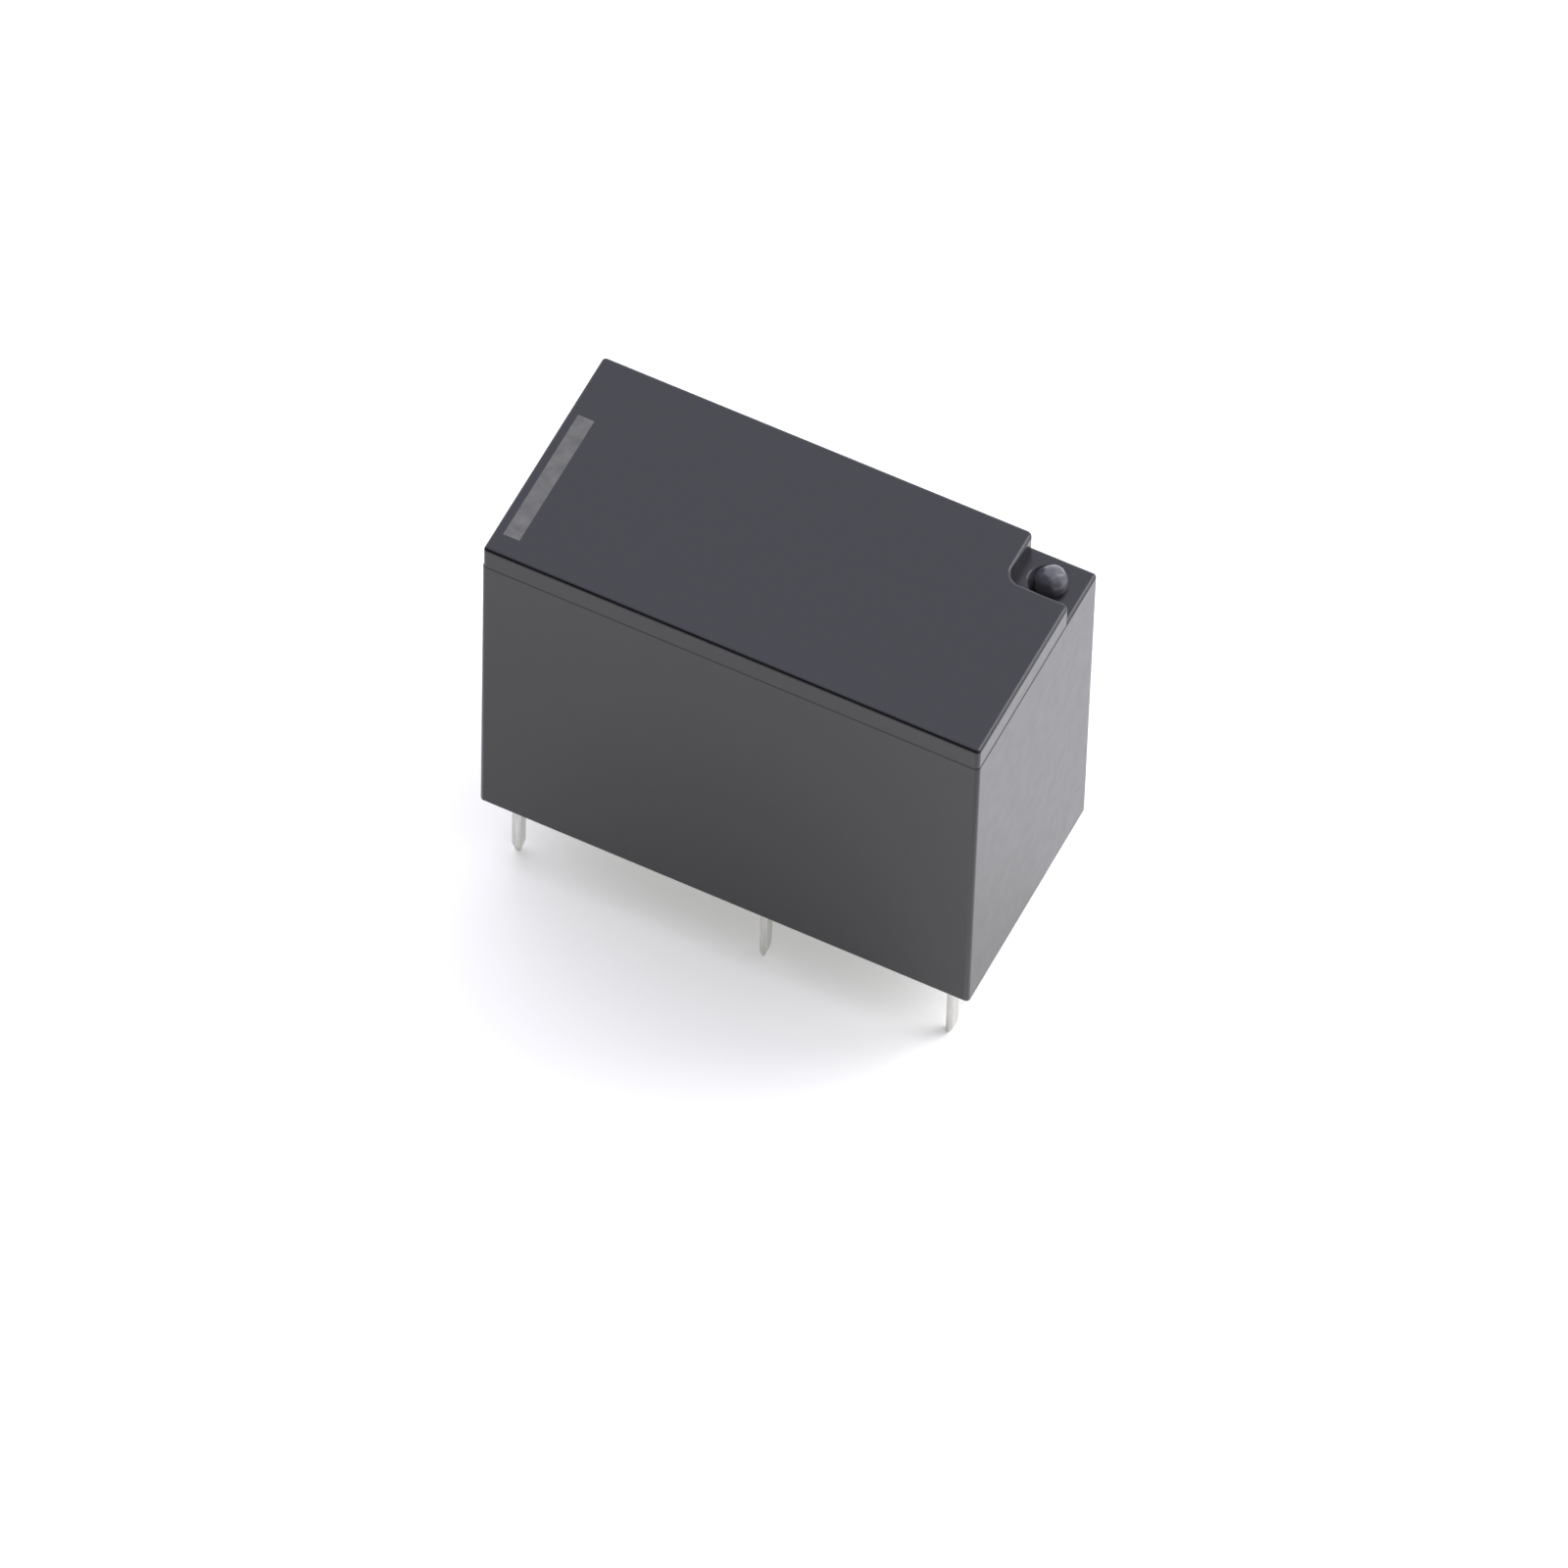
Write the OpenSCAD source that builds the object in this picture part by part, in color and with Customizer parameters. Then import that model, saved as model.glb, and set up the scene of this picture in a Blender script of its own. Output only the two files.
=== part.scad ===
// Miniature printed-circuit power relay with one change-over contact, sealed under a moulded cover.
// X runs along the cover towards the contact end, Y across it with the front at -Y, and Z is up.
// The rim of the cover seats on the board at Z = 0, and the solder pins reach below it.

/* [Cover] */
// Outside length of the cover
cover_length = 20; // [18:0.1:24]
// Outside width of the cover
cover_width = 9.8; // [8.8:0.1:12]
// Height of the cover above the board
cover_height = 15.6; // [14:0.1:19]
// Thickness of the side walls
cover_wall = 0.6; // [0.45:0.05:0.9]
// Thickness of the roof
cover_roof = 1; // [0.7:0.05:1.2]
// Radius of the upright corners
corner_radius = 0.15; // [0.1:0.05:0.6]
// Radius along the top edges
edge_radius = 0.16; // [0.06:0.02:0.2]
// Depth of the cap above the parting line
cap_depth = 0.95; // [0.6:0.05:1.4]
// How far the cap stands in from the walls
cap_step = 0.02; // [0.01:0.01:0.1]

/* [Vent corner] */
// Length of the corner notch along the cover
notch_length = 2.58; // [2.2:0.02:4]
// Width of the corner notch across the cover
notch_width = 2.36; // [2.2:0.02:3.2]
// Radius of the notch's inner corner
notch_corner = 0.55; // [0.2:0.05:0.9]
// Radius where the notch runs out at the walls
notch_end_radius = 0.25; // [0.1:0.05:0.6]
// Radius along the outer edges of the notch floor
shelf_radius = 0.16; // [0.06:0.02:0.2]
// Diameter of the vent pip
vent_diameter = 1.2; // [0.8:0.05:1.4]
// Height of the vent pip above the notch floor
vent_height = 0.75; // [0.3:0.05:0.8]
// How much wider the moat's radius is than the vent pip's
moat_width = 0.15; // [0.1:0.05:0.35]
// Depth of the moat
moat_depth = 0.15; // [0.05:0.05:0.3]
// Thickness of the notch floor
notch_floor = 0.8; // [0.5:0.05:1]

/* [Pins] */
// Length of the solder pins below the board face
pin_length = 3.8; // [2.5:0.1:5]
// Distance from the ends of the base to the middle of the end pins
pin_inset = 0.46; // [0.4:0.01:0.7]
// Distance from the sides of the base to the middle of the pin rows
row_inset = 0.44; // [0.36:0.01:0.7]
// Distance along the cover from the common pin to the contact pins
common_to_contact = 7.62; // [7.5:0.02:7.8]
// Thickness of the contact terminals' sheet
blade_thickness = 0.3; // [0.2:0.02:0.36]
// Width of the contact pins
pin_width = 0.42; // [0.4:0.02:0.7]
// Side of the square coil pins
coil_post = 0.4; // [0.3:0.01:0.46]
// Length of the taper at the pin tips
tip_taper = 0.5; // [0.2:0.05:1.2]
// Thickness left at the tips of the contact pins
tip_land = 0.12; // [0.04:0.02:0.16]
// Width of the common pin's shoulder
shoulder_width = 0.8; // [0.7:0.05:1]
// How far the shoulder reaches below the board face
shoulder_drop = 0.6; // [0.2:0.05:1]

/* [Base] */
// Depth of the resin's face inside the rim
resin_recess = 0.25; // [0.1:0.05:0.4]
// Thickness of the sealing resin
resin_depth = 0.6; // [0.3:0.05:0.8]
// Thickness of the base plate
base_thickness = 1.35; // [0.9:0.05:1.5]
// Room between the base plate and the cover
base_fit = 0.05; // [0.02:0.01:0.1]
// Thickness of the wall between the coil and the contacts
barrier_thickness = 0.32; // [0.25:0.01:0.36]
// Thickness of the walls that carry the fixed contacts
end_wall = 0.72; // [0.4:0.02:0.9]

/* [Coil] */
// Room between the bobbin's flanges and the side walls
coil_side_room = 0.3; // [0.2:0.05:0.6]
// Room between the bobbin's flanges and the end wall
coil_end_room = 0.65; // [0.5:0.05:1]
// Depth of the winding on the bobbin's barrel
winding_depth = 1.35; // [1:0.05:1.6]
// Wall of the bobbin's barrel
barrel_wall = 0.75; // [0.4:0.05:0.9]
// Thickness of the bobbin's flanges
flange_thickness = 0.8; // [0.5:0.05:0.9]
// How far the flanges stand out past the winding
flange_rim = 0.15; // [0.1:0.01:0.18]
// Wall of the bobbin's lugs round the coil pins
lug_wall = 0.12; // [0.08:0.01:0.2]
// Length of the coil pins above the lugs
post_stub = 1.2; // [1:0.05:2]
// How far the core's pole face stands in from the winding's outside
pole_setback = 0.95; // [0.6:0.05:1.3]
// Thickness of the pole face
pole_thickness = 0.8; // [0.5:0.05:0.9]
// Shoulder of the core on the yoke
core_shoulder = 0.4; // [0.2:0.05:0.6]
// Diameter of the winding wire's ends
lead_diameter = 0.08; // [0.06:0.01:0.1]
// Turns of each wire end round its pin
lead_turns = 8; // [4:1:10]

/* [Yoke and armature] */
// Thickness of the yoke
yoke_thickness = 1; // [0.8:0.05:1.05]
// Width of the yoke
yoke_width = 6; // [5.6:0.1:6.6]
// Outside radius of the yoke's bend
yoke_bend = 0.8; // [0.3:0.05:1]
// Radius of the yoke's edge that the armature rocks on
hinge_radius = 0.4; // [0.3:0.02:0.5]
// Air between the armature and the yoke when they close
armature_gap = 0.02; // [0.02:0.01:0.05]
// Thickness of the armature
armature_thickness = 0.9; // [0.7:0.05:1]
// Height of the space over the yoke that the armature moves in
armature_room = 2.2; // [2:0.05:3]
// Width of the armature
armature_width = 6.2; // [5:0.1:7]
// Width of the armature's neck
neck_width = 3; // [2.4:0.1:3.2]
// Length of the neck past the hinge
neck_reach = 2; // [1.7:0.05:2.2]
// Angle through which the armature rocks
armature_travel = 5.6; // [4.6:0.1:6]
// Thickness of the hinge spring
hinge_spring_thickness = 0.15; // [0.1:0.01:0.2]
// Width of the hinge spring
hinge_spring_width = 5.2; // [4.8:0.1:5.6]

/* [Actuator card] */
// Distance from the hinge to the middle of the card's window
card_reach = 4.7; // [4.4:0.05:4.8]
// Thickness of the card's window plate
card_plate = 0.8; // [0.6:0.05:0.9]
// Width of the card on each side of what passes through it
card_side = 0.6; // [0.4:0.05:0.7]
// Height of the sill under the window
card_sill = 0.47; // [0.3:0.01:0.7]

/* [Contacts] */
// Height from the moving spring up to the hinge
spring_drop = 3.3; // [3:0.1:3.5]
// Thickness of the moving spring
spring_thickness = 0.18; // [0.12:0.01:0.24]
// Width of the moving spring's root
spring_width = 3; // [2.6:0.1:3.2]
// Distance from the contact pins back to the contacts' centre
contact_setback = 1.89; // [1.8:0.01:2.1]
// Length of the common terminal's tab
common_tab = 1.48; // [1.3:0.02:1.7]
// Air gap of the open contact
contact_gap = 0.4; // [0.3:0.01:0.5]
// Diameter of the moving contact
moving_diameter = 2.4; // [1.8:0.05:2.5]
// Height of each moving contact head
moving_height = 0.5; // [0.3:0.02:0.6]
// Diameter of the fixed contacts
fixed_diameter = 2.6; // [2:0.05:2.8]
// Height of the fixed contact heads
fixed_height = 0.6; // [0.4:0.02:0.8]
// Dome radius of the moving contact
moving_dome = 4; // [3:0.1:8]
// Bevel round the face of the fixed contacts
fixed_bevel = 0.15; // [0.05:0.01:0.3]
// Width of the fixed contacts' tabs
tab_width = 3; // [2.8:0.05:3.2]
// Width of the terminals' risers
riser_width = 1.8; // [1:0.05:1.9]
// Diameter of the small rivets' shanks
rivet_shank = 0.6; // [0.4:0.02:0.7]
// Diameter of the small rivets' heads
rivet_head = 1; // [0.8:0.05:1]
// Height of the rivets' heads
rivet_height = 0.25; // [0.15:0.01:0.27]

/* [Hidden] */
$fn = 64;

// Clearances and small fixed distances
fit = 0.02;
air = 0.08;
running_gap = 0.05;
cut = 1;
front = -1;
back = 1;

// Outside and inside of the cover
half_length = cover_length / 2;
half_width = cover_width / 2;
inner_length = half_length - cover_wall;
inner_width = half_width - cover_wall;
roof_z = cover_height - cover_roof;
cap_z = cover_height - cap_depth;
cap_length = cover_length - 2 * cap_step;
cap_width = cover_width - 2 * cap_step;
notch_x = half_length - notch_length;
notch_y = half_width - notch_width;
vent_x = notch_x + notch_length / 2;
vent_y = notch_y + notch_width / 2;
vent_dome = 0.53 * vent_diameter;
pip_lap = 0.05;
moat_shift = moat_width + pip_lap;

// Base, and the pins set in from its edges
base_z = resin_recess + resin_depth;
base_top = base_z + base_thickness;
base_half_length = inner_length - base_fit;
base_half_width = inner_width - base_fit;
contact_x = base_half_length - pin_inset;
coil_pin_x = -contact_x;
common_x = contact_x - common_to_contact;
row_y = base_half_width - row_inset;
blade_edge = row_y + pin_width / 2;
common_face = common_x - blade_thickness / 2;
contact_face = contact_x - blade_thickness / 2;
contact_back = contact_x + blade_thickness / 2;

// Wall between coil and contacts
barrier_x = common_face - fit - barrier_thickness;

// Yoke and coil, in the room that the barrier, the walls and the roof leave
yoke_face = barrier_x - air - rivet_height - hinge_spring_thickness;
yoke_inside = yoke_face - yoke_thickness;
yoke_top = roof_z - armature_room;
flange_left = coil_end_room - inner_length;
flange_length = yoke_inside - running_gap - flange_left;
flange_width = 2 * (inner_width - coil_side_room);
flange_x = flange_left + flange_length / 2;
winding_diameter = min(flange_length, flange_width) - 2 * flange_rim;
coil_x = yoke_inside - running_gap - flange_rim - winding_diameter / 2;
barrel_diameter = winding_diameter - 2 * winding_depth;
core_diameter = barrel_diameter - 2 * (barrel_wall + running_gap);
spigot_diameter = core_diameter - 2 * core_shoulder;
pole_diameter = winding_diameter - 2 * pole_setback;
flange_z = base_top + yoke_thickness;
winding_z = flange_z + flange_thickness;
pole_z = yoke_top - pole_thickness;
upper_flange_z = pole_z - flange_thickness;
winding_length = upper_flange_z - winding_z;
foot_thickness = 0.7;
foot_right = flange_left + foot_thickness;
yoke_left = foot_right + running_gap;
lug_half = coil_post / 2 + lug_wall;
lug_reach = 1.2;

// Armature, hinge spring and card, set out from the hinge axis
hinge_x = yoke_face - hinge_radius;
hinge_z = yoke_top - hinge_radius;
armature_z = yoke_top + armature_gap;
armature_top = armature_z + armature_thickness;
armature_left = coil_x - pole_diameter / 2 - running_gap;
heel_reach = 0.2;
armature_heel = hinge_x + heel_reach;
armature_corner = 0.2;
neck_end = hinge_x + neck_reach;
neck_room = 0.2;
hinge_window = neck_width + 2 * neck_room;
hinge_window_drop = 0.4;
hinge_window_z = hinge_z - hinge_window_drop;
hinge_window_top = armature_top + 2 * fit;
hinge_bar = 0.59;
hinge_tail = 5.5;
leaf_corner = 0.5;
hinge_rivet_drop = 4;
hinge_rivet_z = hinge_z - hinge_rivet_drop;
hinge_rivet_y = 1.2;
rivet_bite = 0.6;

// Contact levels, set out from the moving spring
spring_z = hinge_z - spring_drop;
spring_top = spring_z + spring_thickness;
spring_root = common_face + air;
spring_clamp = common_face + common_tab;
contact_centre = contact_x - contact_setback;
contact_reach = contact_centre - spring_clamp;
closed_top = spring_z - moving_height - fit;
closed_tab_top = closed_top - fixed_height;
open_face = spring_top + moving_height + contact_gap;
open_tab_top = open_face + fixed_height + blade_thickness;
tab_setback = 0.3;
tab_end = contact_centre - tab_width / 2 + tab_setback;
contact_shank = 1.2;
rivet_edge = 0.69;
closing_head = 2;
inner_bend = 0.15;
bend_radius = blade_thickness + inner_bend;
common_plate_drop = 3.7;
closed_plate_drop = 3;
open_plate_drop = 1.7;

// Card window: the sill meets the spring just as the open contact closes
card_gap = 0.3;
card_left = yoke_face + hinge_spring_thickness + card_gap;
card_x = hinge_x + card_reach;
card_right = card_x + card_plate / 2;
card_width = max(neck_width, spring_width) + 2 * card_side;
card_z = hinge_window_z;
card_cover = 0.28;
card_top = armature_top + card_cover;
swing = asin((contact_gap - fit) / contact_reach);
card_arm = card_right - hinge_x;
card_lift = card_arm * sin(armature_travel) + spring_drop * (1 - cos(armature_travel));
card_shift = spring_drop * sin(armature_travel);
spring_lift = (card_right + card_shift - spring_clamp) * tan(swing);
window_sill = spring_z + spring_lift - card_lift - running_gap;
window_top = spring_top + 1.5 * fit;
spring_room = 0.1;
window_width = spring_width + 2 * spring_room;

// A box between two opposite corners
module box(low, high) {
    translate(low) cube(high - low);
}

// A flat outline in X and Z, given its thickness across the cover
module across(width) {
    rotate([90, 0, 0]) linear_extrude(width, center = true) children();
}

// A flat outline in Y and Z, given its thickness along the cover from a face at x
module along(x, thickness) {
    translate([x, 0, 0]) rotate([90, 0, 90]) linear_extrude(thickness) children();
}

module rounded_rectangle(length, width, radius) {
    square([length - 2 * radius, width], center = true);
    square([length, width - 2 * radius], center = true);
    for (sx = [-1, 1], sy = [-1, 1])
        translate([sx * (length / 2 - radius), sy * (width / 2 - radius)]) circle(radius);
}

// An upright outline that stands on its base line, with both top corners round
module rounded_top(width, height, radius) {
    translate([-width / 2, 0]) square([width, height - radius]);
    translate([radius - width / 2, 0]) square([width - 2 * radius, height]);
    for (side = [-1, 1]) translate([side * (width / 2 - radius), height - radius]) circle(radius);
}

// What a quarter round takes off a corner at the origin whose body lies towards -X and -Y
module corner_waste(radius) {
    difference() {
        translate([-radius, -radius]) square(radius + cut);
        translate([-radius, -radius]) circle(radius);
    }
}

// A turned head on the XY plane with a domed face
module domed_head(diameter, height, dome) {
    intersection() {
        cylinder(d = diameter, h = height);
        translate([0, 0, height - dome]) sphere(dome);
    }
}

// A rivet head whose dome runs out at its rim
module rivet_dome(diameter, height) {
    domed_head(diameter, height, (diameter * diameter / 4 + height * height) / (2 * height));
}

// A block with round upright corners and round top edges
module moulded_block(length, width, height, edge) {
    intersection() {
        linear_extrude(height) children();
        across(width + cut) rounded_top(length, height, edge);
        rotate([0, 0, 90]) across(length + cut) rounded_top(width, height, edge);
    }
}

// The cap's outline, with the notch at the contact end
module cap_outline() {
    cap_x = cap_length / 2;
    cap_y = cap_width / 2;
    difference() {
        rounded_rectangle(cap_length, cap_width, corner_radius);
        translate([notch_x + notch_corner, notch_y]) square([notch_length, notch_width]);
        translate([notch_x, notch_y + notch_corner]) square([notch_length, notch_width]);
        translate([notch_x + notch_corner, notch_y + notch_corner]) circle(notch_corner);
        translate([notch_x, cap_y]) corner_waste(notch_end_radius);
        translate([cap_x, notch_y]) corner_waste(notch_end_radius);
    }
}

module cover() color("#3c3c42") {
    moat_z = cap_z - moat_depth;
    ceiling = cap_z - notch_floor;
    difference() {
        union() {
            moulded_block(cover_length, cover_width, cap_z, shelf_radius)
                rounded_rectangle(cover_length, cover_width, corner_radius);
            moulded_block(cap_length, cap_width, cover_height, edge_radius) cap_outline();
        }
        difference() {
            box([-inner_length, -inner_width, -cut], [inner_length, inner_width, roof_z]);
            box([notch_x - cover_wall, notch_y - cover_wall, ceiling],
                [half_length, half_width, cover_height]);
        }
        translate([vent_x, vent_y, moat_z]) difference() {
            translate([-moat_shift, 0, 0])
                cylinder(d = vent_diameter + 2 * moat_width, h = moat_depth + cut);
            cylinder(d = vent_diameter, h = moat_depth + cut);
        }
    }
    translate([vent_x, vent_y, cap_z]) domed_head(vent_diameter, vent_height, vent_dome);
}

// The slots that the five pins pass through
module pin_slots(room, low, high) {
    for (side = [front, back]) {
        half_post = coil_post / 2 + room;
        translate([coil_pin_x, side * row_y, 0])
            box([-half_post, -half_post, low], [half_post, half_post, high]);
        pin_slot(contact_face, side, pin_width, room, low, high);
    }
    pin_slot(common_face, front, shoulder_width, room, low, high);
}

module pin_slot(face, side, width, room, low, high) {
    inner_edge = blade_edge - width - room;
    outer_edge = blade_edge + room;
    box([face - room, side > 0 ? inner_edge : -outer_edge, low],
        [face + blade_thickness + room, side > 0 ? outer_edge : -inner_edge, high]);
}

module sealing_resin() color("#1c1b1e") difference() {
    box([-inner_length, -inner_width, resin_recess], [inner_length, inner_width, base_z]);
    pin_slots(0, resin_recess - cut, base_z + cut);
}

module base() color("#2b2b2f") {
    barrier_drop = 1;
    wall_face = contact_face - fit;
    wall_inside = wall_face - end_wall;
    difference() {
        box([-base_half_length, -base_half_width, base_z], [base_half_length, base_half_width, base_top]);
        pin_slots(fit, base_z - cut, base_top + cut);
    }
    box([barrier_x, -base_half_width, base_top],
        [common_face - fit, base_half_width, card_z - barrier_drop]);
    box([wall_inside, -tab_width / 2, base_top],
        [wall_face, base_half_width, closed_tab_top - bend_radius]);
    box([wall_inside, -base_half_width, base_top],
        [wall_face, riser_width - blade_edge, open_tab_top - tab_width / 2]);
}

module bobbin() color("#1f2024") {
    difference() {
        union() {
            for (z = [flange_z, upper_flange_z]) translate([flange_x, 0, z]) linear_extrude(flange_thickness)
                rounded_rectangle(flange_length, flange_width, 2 * flange_rim);
            translate([coil_x, 0, flange_z]) cylinder(d = barrel_diameter, h = pole_z - flange_z);
            for (side = [front, back]) translate([0, side * row_y, flange_z])
                box([coil_pin_x - lug_half, -lug_half, 0],
                    [coil_pin_x + lug_reach, lug_half, flange_thickness]);
            box([flange_left, -yoke_width / 2, base_top], [foot_right, yoke_width / 2, winding_z]);
        }
        translate([coil_x, 0, flange_z - cut]) cylinder(d = core_diameter + 2 * running_gap, h = yoke_top);
        for (side = [front, back]) translate([coil_pin_x, side * row_y, 0])
            box([-coil_post / 2 - fit, -coil_post / 2 - fit, flange_z - cut],
                [coil_post / 2 + fit, coil_post / 2 + fit, winding_z + cut]);
    }
}

module winding() color("#a8602e") translate([coil_x, 0, winding_z + fit]) difference() {
    cylinder(d = winding_diameter, h = winding_length - 2 * fit);
    translate([0, 0, -cut]) cylinder(d = barrel_diameter + 2 * fit, h = winding_length + 2 * cut);
}

module core() color("#8e9196") translate([coil_x, 0, 0]) {
    translate([0, 0, base_top]) cylinder(d = spigot_diameter, h = pole_z - base_top);
    translate([0, 0, flange_z]) cylinder(d = core_diameter, h = yoke_top - flange_z);
    translate([0, 0, pole_z]) cylinder(d = pole_diameter, h = pole_thickness);
}

module yoke() color("#9a9da2") difference() {
    across(yoke_width) difference() {
        union() {
            translate([yoke_left, base_top]) square([yoke_face - yoke_left, yoke_thickness]);
            translate([yoke_inside, base_top]) square([yoke_thickness, yoke_top - base_top]);
        }
        translate([yoke_face, yoke_top]) corner_waste(hinge_radius);
        translate([yoke_face, base_top]) mirror([0, 1]) corner_waste(yoke_bend);
    }
    translate([coil_x, 0, base_top - cut])
        cylinder(d = spigot_diameter + 2 * fit, h = yoke_thickness + 2 * cut);
    at_hinge_rivets() translate([0, 0, -rivet_bite - fit])
        cylinder(d = rivet_shank + 2 * fit, h = rivet_bite + cut);
}

// Turns what is made with the armature closed to where the hinge spring holds it at rest
module at_rest_tilt() {
    translate([hinge_x, 0, hinge_z]) rotate([0, armature_travel, 0])
        translate([-hinge_x, 0, -hinge_z]) children();
}

module armature() color("#a2a5aa") at_rest_tilt() {
    plate_length = armature_heel - armature_left;
    translate([armature_left + plate_length / 2, 0, armature_z]) linear_extrude(armature_thickness)
        rounded_rectangle(plate_length, armature_width, armature_corner);
    box([hinge_x, -neck_width / 2, armature_z], [neck_end, neck_width / 2, armature_top]);
}

module actuator_card() color("#d8d2c2") difference() {
    arm_height = 1;
    arm_top = card_z + arm_height;
    gusset = 0.6;
    nose = 0.5;
    across(card_width) polygon([
        [card_left, card_z],
        [card_right - card_plate - gusset, card_z],
        [card_right - card_plate, card_z - gusset],
        [card_right - card_plate, window_sill - card_sill],
        [card_right, window_sill - card_sill],
        [card_right, arm_top - gusset / 2],
        [card_right - gusset / 2, arm_top],
        [neck_end + nose + gusset, arm_top],
        [neck_end + nose, card_top],
        [card_left, card_top]
    ]);
    box([card_right - card_plate - cut, -window_width / 2, window_sill],
        [card_right + cut, window_width / 2, window_top]);
    at_rest_tilt() box([card_left - cut, -neck_width / 2 - fit, armature_z - fit],
                       [neck_end + fit, neck_width / 2 + fit, armature_top + fit]);
}

// Places a rivet at each fixing of the hinge spring, with its axis along X and the yoke's face at zero
module at_hinge_rivets() {
    for (side = [front, back])
        translate([yoke_face, side * hinge_rivet_y, hinge_rivet_z]) rotate([0, 90, 0]) children();
}

module hinge_spring() color("#b9a06a") difference() {
    tail_z = hinge_z - hinge_tail;
    leaf_top = hinge_window_top + hinge_bar;
    along(yoke_face, hinge_spring_thickness) difference() {
        translate([0, (tail_z + leaf_top) / 2])
            rounded_rectangle(hinge_spring_width, leaf_top - tail_z, leaf_corner);
        translate([-hinge_window / 2, hinge_window_z])
            square([hinge_window, hinge_window_top - hinge_window_z]);
    }
    at_hinge_rivets() translate([0, 0, -cut]) cylinder(d = rivet_shank + 2 * fit, h = 2 * cut);
}

module hinge_spring_rivets() color("#c3c5c8") at_hinge_rivets() {
    translate([0, 0, -rivet_bite])
        cylinder(d = rivet_shank, h = rivet_bite + hinge_spring_thickness + rivet_height / 2);
    translate([0, 0, hinge_spring_thickness]) rivet_dome(rivet_head, rivet_height);
}

// A pin's outline in Y and Z, its outer edge on the line that all blades share
module pin_outline(width, top) {
    inner_edge = blade_edge - width;
    tip_step = 0.28 * width;
    tip_z = -pin_length;
    polygon([
        [inner_edge, top],
        [inner_edge, tip_z + tip_taper],
        [inner_edge + tip_step, tip_z],
        [blade_edge, tip_z],
        [blade_edge, top]
    ]);
}

// What a long round takes off a pin's tip, in X and Z: the pin's side is at zero, its body towards -X
module tip_waste(depth) {
    bow = (tip_taper * tip_taper + depth * depth) / (2 * depth);
    difference() {
        translate([-depth, -pin_length - cut]) square([depth + cut, tip_taper + cut]);
        translate([-bow, tip_taper - pin_length]) circle(bow);
    }
}

// A terminal's blade at the back row: pin, riser and a plate that reaches over to carry the tab
module blade_outline(plate_z, tab_top) {
    plate_left = -tab_width / 2;
    bend_z = tab_top - bend_radius;
    pin_outline(pin_width, base_top);
    translate([blade_edge - riser_width, base_top]) square([riser_width, bend_z - base_top]);
    translate([plate_left, plate_z]) square([blade_edge - plate_left, bend_z - plate_z]);
}

// The top of a blade with its bend and tab, in X and Z, with its outer corner at the origin
module tab_outline(reach) {
    translate([0, -2 * bend_radius]) square([blade_thickness, bend_radius]);
    translate([bend_radius, -blade_thickness]) square([reach - bend_radius, blade_thickness]);
    intersection() {
        translate([bend_radius, -bend_radius]) difference() {
            circle(bend_radius);
            circle(bend_radius - blade_thickness);
        }
        translate([0, -bend_radius]) square(bend_radius);
    }
}

module common_terminal() color("#c9c6be") {
    difference() {
        union() {
            along(common_face, blade_thickness) mirror([1, 0]) {
                blade_outline(spring_z - common_plate_drop, spring_z);
                translate([blade_edge - shoulder_width, -shoulder_drop])
                    square([shoulder_width, base_top + shoulder_drop]);
            }
            translate([common_face, 0, spring_z]) across(tab_width) tab_outline(common_tab);
        }
        at_spring_rivets() translate([0, 0, -blade_thickness - cut])
            cylinder(d = rivet_shank + 2 * fit, h = blade_thickness + 2 * cut);
        for (turn = [0, 180]) translate([common_x, 0, 0]) rotate([0, 0, turn])
            translate([blade_thickness / 2, 0, 0]) across(cover_width)
                tip_waste((blade_thickness - tip_land) / 2);
    }
}

// A fixed terminal at the contact end, whose tab turns back towards the coil
module fixed_terminal(tab_top) {
    difference() {
        union() {
            along(contact_face, blade_thickness) children();
            translate([contact_back, 0, tab_top]) mirror([1, 0, 0]) across(tab_width)
                tab_outline(contact_back - tab_end);
        }
        translate([contact_centre, 0, tab_top - blade_thickness - cut])
            cylinder(d = contact_shank + 2 * fit, h = blade_thickness + 2 * cut);
        translate([contact_back, 0, 0]) across(cover_width) tip_waste(blade_thickness - tip_land);
    }
}

module normally_closed_terminal() color("#c9c6be") fixed_terminal(closed_tab_top)
    blade_outline(closed_tab_top - closed_plate_drop, closed_tab_top);

module normally_open_terminal() color("#c9c6be") fixed_terminal(open_tab_top)
    mirror([1, 0]) blade_outline(open_tab_top - open_plate_drop, open_tab_top);

// A contact rivet set in a tab: its head faces +Z from the tab's face at zero
module fixed_contact() {
    cylinder(d = fixed_diameter, h = fixed_height - fixed_bevel);
    translate([0, 0, fixed_height - fixed_bevel])
        cylinder(d1 = fixed_diameter, d2 = fixed_diameter - 2 * fixed_bevel, h = fixed_bevel);
    translate([0, 0, -blade_thickness - rivet_height / 2])
        cylinder(d = contact_shank, h = blade_thickness + rivet_height);
    translate([0, 0, -blade_thickness]) mirror([0, 0, 1]) rivet_dome(closing_head, rivet_height);
}

module normally_closed_contact() color("#d9d7d2")
    translate([contact_centre, 0, closed_tab_top]) fixed_contact();

module normally_open_contact() color("#d9d7d2")
    translate([contact_centre, 0, open_tab_top - blade_thickness]) mirror([0, 0, 1]) fixed_contact();

// Places a rivet at each fixing of the moving spring, with the common tab's face at zero
module at_spring_rivets() {
    rivet_x = (common_face + bend_radius + spring_clamp) / 2;
    rivet_y = spring_width / 2 - rivet_edge;
    for (side = [front, back]) translate([rivet_x, side * rivet_y, spring_z]) children();
}

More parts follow.
